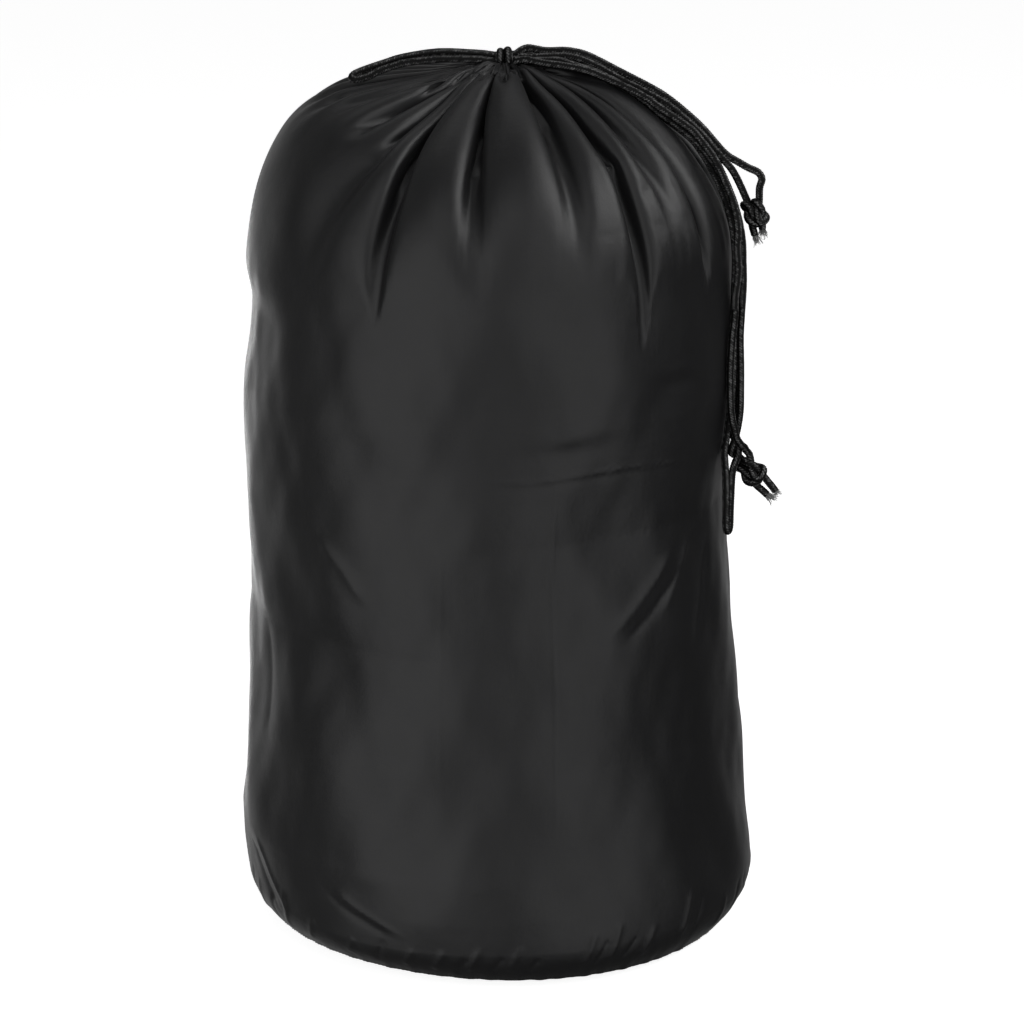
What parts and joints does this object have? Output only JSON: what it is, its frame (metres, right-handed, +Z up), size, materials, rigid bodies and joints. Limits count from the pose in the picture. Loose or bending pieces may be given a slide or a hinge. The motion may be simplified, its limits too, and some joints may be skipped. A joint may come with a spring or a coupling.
{
  "type": "drawstring storage sack",
  "caption": "Filled round-bottomed fabric sack, gathered shut at the top with drawcords tied in a bow, knotted cord ends hanging down the side.",
  "frame": {"origin": "centre of the resting face of the bottom", "axes": "+Z up along the sack, -Y the side seen from the front, +X the side the cord ends hang on"},
  "size_m": [0.3928, 0.3648, 0.6303],
  "materials": {
    "coated_nylon": "satin sheen of a coated taffeta",
    "binding_tape": "matte woven tape",
    "sewing_thread": "matte twisted polyester",
    "braided_cord": "matte braid with a faint shine on each strand"
  },
  "bodies": {
    "base": {"bottom_panel": "coated_nylon", "bottom_seam_binding": "binding_tape", "bottom_seam_thread": "sewing_thread", "lower_body_wall": "coated_nylon", "side_seam_lower": "coated_nylon"},
    "upper": {"upper_body_wall": "coated_nylon", "side_seam_upper": "coated_nylon", "tail_a_over_crown": "braided_cord", "tail_b_over_crown": "braided_cord", "bow_loop_right_over_crown": "braided_cord"},
    "mouth": {"hem_channel": "coated_nylon", "channel_stitching": "sewing_thread", "drawcord_a_in_channel": "braided_cord", "drawcord_b_in_channel": "braided_cord", "bow_knot": "braided_cord", "bow_right_strands": "braided_cord"},
    "bow_loop_left": {"bow_loop_left": "braided_cord"},
    "tail_a": {"tail_a_strands": "braided_cord", "tail_a_knot": "braided_cord", "tail_a_ends": "braided_cord"},
    "tail_b_upper": {"tail_b_upper_strands": "braided_cord"},
    "tail_b_lower": {"tail_b_lower_strands": "braided_cord", "tail_b_knot": "braided_cord", "tail_b_ends": "braided_cord"},
    "loop_right_upper": {"bow_loop_right_upper": "braided_cord"},
    "loop_right_lower": {"bow_loop_right_lower": "braided_cord"}
  },
  "joints": [
    {"name": "compress", "type": "slide", "parent": "base", "child": "upper", "axis": [0, 0, 1], "range_m": [-0.1, 0], "stiffness_N_per_m": 400, "springref_m": 0.006},
    {"name": "mouth_draw", "type": "slide", "parent": "upper", "child": "mouth", "axis": [0, 0, 1], "range_m": [0, 0.04]},
    {"name": "bow_loop_left_lift", "type": "hinge", "parent": "mouth", "child": "bow_loop_left", "pos_m": [-0.006, 0, 0.6225], "axis": [0, 1, 0], "range_deg": [0, 75]},
    {"name": "tail_a_swing", "type": "hinge", "parent": "upper", "child": "tail_a", "pos_m": [0.16945, -0.02436, 0.54239], "axis": [-0.2079, -0.9781, 0], "range_deg": [0, 70]},
    {"name": "tail_b_upper_swing", "type": "hinge", "parent": "upper", "child": "tail_b_upper", "pos_m": [0.16532, -0.05313, 0.504], "axis": [-0.2079, -0.9781, 0], "range_deg": [0, 70]},
    {"name": "tail_b_lower_sway", "type": "hinge", "parent": "tail_b_upper", "child": "tail_b_lower", "pos_m": [0.17161, -0.05447, 0.418], "axis": [-0.9781, 0.2079, 0], "range_deg": [0, 35]},
    {"name": "loop_right_upper_swing", "type": "hinge", "parent": "upper", "child": "loop_right_upper", "pos_m": [0.16921, -0.03903, 0.504], "axis": [-0.2079, -0.9781, 0], "range_deg": [0, 60]},
    {"name": "loop_right_lower_swing", "type": "hinge", "parent": "loop_right_upper", "child": "loop_right_lower", "pos_m": [0.17547, -0.04036, 0.4], "axis": [-0.2079, -0.9781, 0], "range_deg": [0, 60]}
  ]
}
